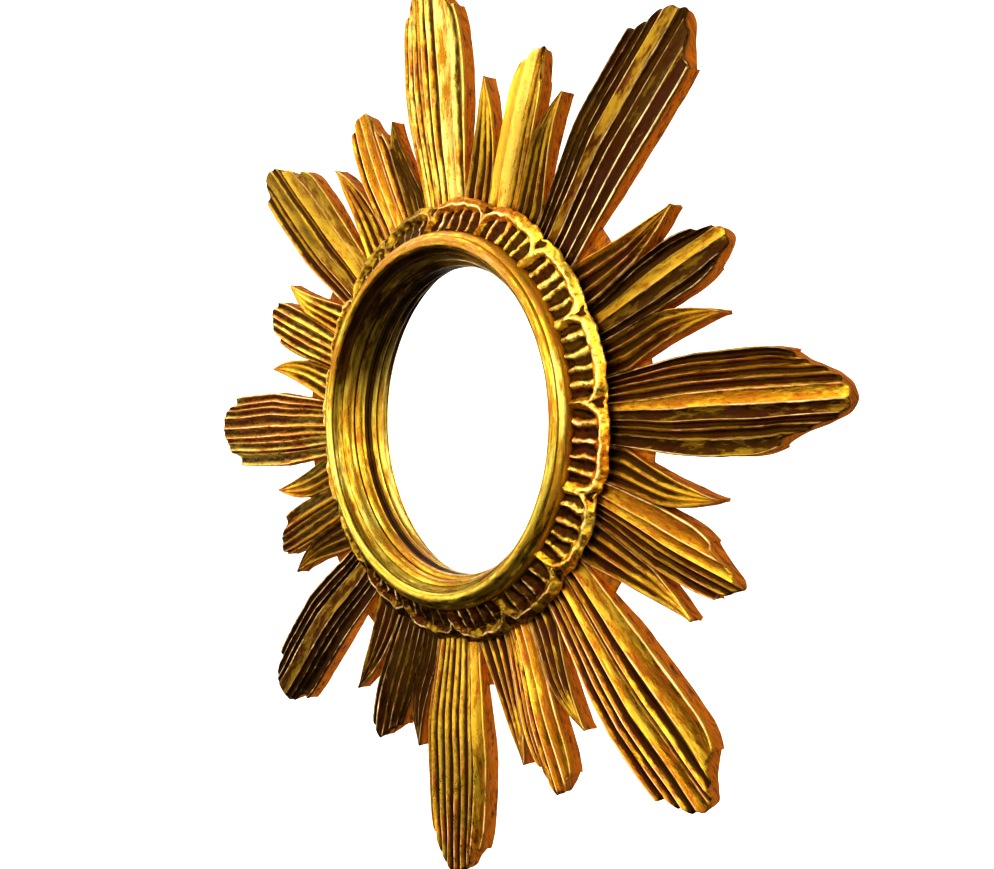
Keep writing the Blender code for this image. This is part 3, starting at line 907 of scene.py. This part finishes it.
def buildCollar(gilding):
    mesh = runTree("fluted_collar", buildScallop(), collarTree(), {
        "Scallops": collar["scallops"], "First Angle": collar["firstAngle"],
        "Unevenness": collar["uneven"], "Uneven Scale": collar["unevenScale"],
        "Drop": mirror["hangRadius"], "Finish": gilding}, radians(50))
    names = ("shade", "edge", "hollow", "flow")
    shade, edge, hollow, flow = (mesh.attributes[name].data for name in names)
    # painted shade and painted highlight by the angle round the ring, the highlight on the rims and
    # ridges only, and a little darker in the pockets; here deep and worn are the strengths of the painted
    # shade and painted highlight
    for index, vert in enumerate(mesh.vertices):
        turn = atan2(vert.co.z + mirror["hangRadius"], vert.co.x)
        dark = sum(deep * smoothStep((cos(turn - radians(at)) - start) / 0.25)
                   for at, deep, start in collar["paintedShades"])
        clear = sum(worn * smoothStep((cos(turn - radians(at)) - 0.5) / 0.35)
                    for at, worn in collar["paintedHighlightAt"])
        shade[index].value = dark + clear * edge[index].value + 0.25 * hollow[index].value
        flow[index].vector = vert.co
    return addPiece("fluted_collar", mesh, (gilding,), "scalloped_collar")


# ---- the turned moulding

moulding = {
    "turns": 288, "wobble": 0.0005, "wobbleScale": 9.0,
    "paintedShadeAt": radians(130), "paintedShadeDepth": 0.85,    # painted shade inside the upper left
    "paintedHighlightAt": radians(14), "paintedHighlightShade": -0.5,   # painted highlight at the left and right
    "spigot": 0.1097, "seat": 0.0126,
    # runs of the outline from the glass outward, each with its bulge toward the eye: radius and height
    # above the glass at both ends, bulge, steps, and how much dark glaze it keeps
    "runs": [
        ((0.1035, 0.0003), (0.1036, 0.0029), 0.0, 2, 0.9),
        ((0.1036, 0.0029), (0.1062, 0.0094), 0.0013, 9, 0.0),     # lip bead
        ((0.1062, 0.0094), (0.1067, 0.0104), -0.0005, 3, 1.0),
        ((0.1065, 0.0106), (0.1091, 0.0182), 0.0011, 9, 0.15),    # ovolo
        ((0.1091, 0.0182), (0.1099, 0.0190), 0.0, 1, 0.8),        # fillet
        ((0.1099, 0.0191), (0.1133, 0.0240), -0.0012, 8, 0.55),   # cove
        ((0.1133, 0.0240), (0.1136, 0.0247), -0.0002, 2, 1.0),
    ],
    "crestRadius": 0.1175, "crestHalf": 0.0040, "crestRise": 0.0026, "crestBase": 0.0246,
    "crestSteps": 14,
    "outerRun": ((0.1215, 0.0245), (0.1250, 0.0207), 0.0006, 6, 0.35),
}


def mouldingOutline():
    points = []

    def run(start, end, bulge, steps, glaze):
        along = Vector((end[0] - start[0], end[1] - start[1]))
        out = Vector((-along.y, along.x)).normalized()
        for step in range(steps + 1):
            t = step / steps
            place = Vector(start) + along * t + out * (bulge * sin(pi * t))
            lit = 1.0 if bulge > 0 and 0.3 < t < 0.7 else 0.0
            points.append((place.x, place.y, glaze, 0.55 * lit))

    for piece in moulding["runs"]:
        run(*piece)
    steps = moulding["crestSteps"]
    for step in range(1, steps):
        turn = pi * (1 - step / steps)
        points.append((moulding["crestRadius"] + moulding["crestHalf"] * cos(turn),
                       moulding["crestBase"] + moulding["crestRise"] * sin(turn),
                       0.25, 0.6 if 0.35 < step / steps < 0.65 else 0.0))
    run(*moulding["outerRun"])
    foot = moulding["outerRun"][1][0]
    seat = moulding["seat"] - mirror["glassFront"]
    points += [(foot, seat, 1.0, 0.0), (moulding["spigot"], seat, 1.0, 0.0),
               (moulding["spigot"], 0.0003, 1.0, 0.0)]
    tidy = [points[0]]
    for point in points[1:]:
        if hypot(point[0] - tidy[-1][0], point[1] - tidy[-1][1]) > 1e-5:
            tidy.append(point)
    return tidy


def mouldingTree():
    tree, given, result = addGroup("turnedRing", "GeometryNodeTree", (
        ("Geometry", "NodeSocketGeometry"),
        ("Turns", "NodeSocketInt"), ("Outline Points", "NodeSocketInt"),
        *((label, "NodeSocketFloat") for label in ("Wobble", "Wobble Scale", "Drop")),
        ("Finish", "NodeSocketMaterial"),
    ), (("Geometry", "NodeSocketGeometry"),))
    count = given["Outline Points"]
    grid = addNode(tree, "GeometryNodeMeshGrid", {
        "Vertices X": plus(tree, given["Turns"], 1.0), "Vertices Y": plus(tree, count, 1.0)})
    position = addNode(tree, "GeometryNodeInputPosition")
    split = addNode(tree, "ShaderNodeSeparateXYZ", {0: position})
    angle = times(tree, plus(tree, split.outputs["X"], 0.5), 2 * pi)
    across, upward = reckon(tree, "COSINE", angle), reckon(tree, "SINE", angle)
    row = times(tree, plus(tree, split.outputs["Y"], 0.5), count)
    row = reckon(tree, "MODULO", reckon(tree, "ROUND", row), count)

    def sampled(kind, value):
        return addNode(tree, "GeometryNodeSampleIndex", {
            "Geometry": given["Geometry"], "Value": value, "Index": row}, data_type=kind)

    def named(name):
        node = addNode(tree, "GeometryNodeInputNamedAttribute", {"Name": name}, data_type="FLOAT")
        return sampled("FLOAT", node)

    outline = addNode(tree, "ShaderNodeSeparateXYZ", {0: sampled("FLOAT_VECTOR", position)})
    radius, depth = outline.outputs["X"], outline.outputs["Y"]
    circle = addNode(tree, "ShaderNodeCombineXYZ", {
        "X": across, "Y": times(tree, depth, 12.0), "Z": upward})
    uneven = addNode(tree, "ShaderNodeTexNoise", {"Vector": circle, "Scale": given["Wobble Scale"]})
    shift = times(tree, minus(tree, uneven, 0.5), given["Wobble"])
    radius = plus(tree, radius, shift)
    place = addNode(tree, "ShaderNodeCombineXYZ", {
        "X": times(tree, radius, across), "Y": plus(tree, depth, times(tree, shift, 0.4)),
        "Z": minus(tree, times(tree, radius, upward), given["Drop"])})
    flow = addNode(tree, "ShaderNodeCombineXYZ", {
        "X": times(tree, across, 0.115), "Y": named("along"), "Z": times(tree, upward, 0.115)})
    current = grid
    for kind, name, value in (("FLOAT_VECTOR", "flow", flow),
                              ("FLOAT", "hollow", named("hollow")), ("FLOAT", "edge", named("edge"))):
        current = addNode(tree, "GeometryNodeStoreNamedAttribute", {
            "Geometry": current, "Name": name, "Value": value}, data_type=kind)
    bend = addNode(tree, "GeometryNodeSetPosition", {"Geometry": current, "Position": place})
    weld = addNode(tree, "GeometryNodeMergeByDistance", {"Geometry": bend, "Distance": 0.00001})
    whole = addNode(tree, "GeometryNodeRealizeInstances", {0: weld})
    finish = addNode(tree, "GeometryNodeSetMaterial", {"Geometry": whole, "Material": given["Finish"]})
    feed(result["Geometry"], finish)
    return tree


def buildMoulding(gilding):
    outline = mouldingOutline()
    bm = bmesh.new()
    marks = Marks(bm)
    along = bm.verts.layers.float.new("along")
    length = 0.0
    for index, (radius, height, glaze, lit) in enumerate(outline):
        if index:
            length += hypot(radius - outline[index - 1][0], height - outline[index - 1][1])
        vert = marks.point((radius, -(mirror["glassFront"] + height), 0), hollow=glaze, edge=lit)
        vert[along] = length
    mesh = runTree("gilt_moulding", bm, mouldingTree(), {
        "Turns": moulding["turns"], "Outline Points": len(outline), "Wobble": moulding["wobble"],
        "Wobble Scale": moulding["wobbleScale"], "Drop": mirror["hangRadius"], "Finish": gilding,
    }, radians(42))
    shade = mesh.attributes.new("shade", "FLOAT", "POINT").data
    for index, vert in enumerate(mesh.vertices):
        x, z = vert.co.x, vert.co.z + mirror["hangRadius"]
        # painted shade inside the upper left, painted highlight at the left and right
        dark = smoothStep((cos(atan2(z, x) - moulding["paintedShadeAt"]) - 0.45) / 0.45)
        clear = smoothStep((abs(cos(atan2(z, x) - moulding["paintedHighlightAt"])) - 0.7) / 0.25)
        inside = smoothStep((0.1145 - hypot(x, z)) / 0.002)
        shade[index].value = moulding["paintedShadeDepth"] * dark * inside + moulding["paintedHighlightShade"] * clear
    return addPiece("gilt_moulding", mesh, (gilding,), "turned_moulding")


# ---- the whole mirror

setCamera()
setStudio()
leafLook = {
    "Leaf": (0.90, 0.57, 0.06), "Bright": (1.0, 0.80, 0.24), "Ochre": (0.64, 0.29, 0.017),
    "Bole": (0.40, 0.09, 0.008), "Glaze": (0.042, 0.008, 0.003), "Pale": (1.0, 0.80, 0.36),
    "Wall Colour": (0.58, 0.19, 0.009),
    "stretch": (1.0, 0.3, 1.0), "grain": 1.0, "glaze": 1.0, "bump": 0.8,
}
rayFinish = makeGilding("ray_gilding", leafLook)
collarFinish = makeGilding("collar_gilding", {
    **leafLook, "Leaf": (0.98, 0.64, 0.07), "Ochre": (0.72, 0.31, 0.02), "Bole": (0.40, 0.12, 0.01),
    "stretch": (1, 1, 1), "glaze": 1.5})
mouldingFinish = makeGilding("moulding_gilding", {
    **leafLook, "Leaf": (0.76, 0.57, 0.09), "Ochre": (0.64, 0.39, 0.040), "Bole": (0.40, 0.14, 0.01),
    "stretch": (0.22, 1, 0.22), "glaze": 1.2, "bump": 0.3})
woodFinish = makeWood("aged_wood")
buildRays(rayFinish, woodFinish)
buildCollar(collarFinish)
buildMoulding(mouldingFinish)
for nodeName, finish in (("mirror_glass", makeSilvering("silvering")), ("back_board", woodFinish)):
    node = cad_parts[nodeName]
    for materialSlot in node.material_slots:
        materialSlot.material = finish
print("glass and back board finished")
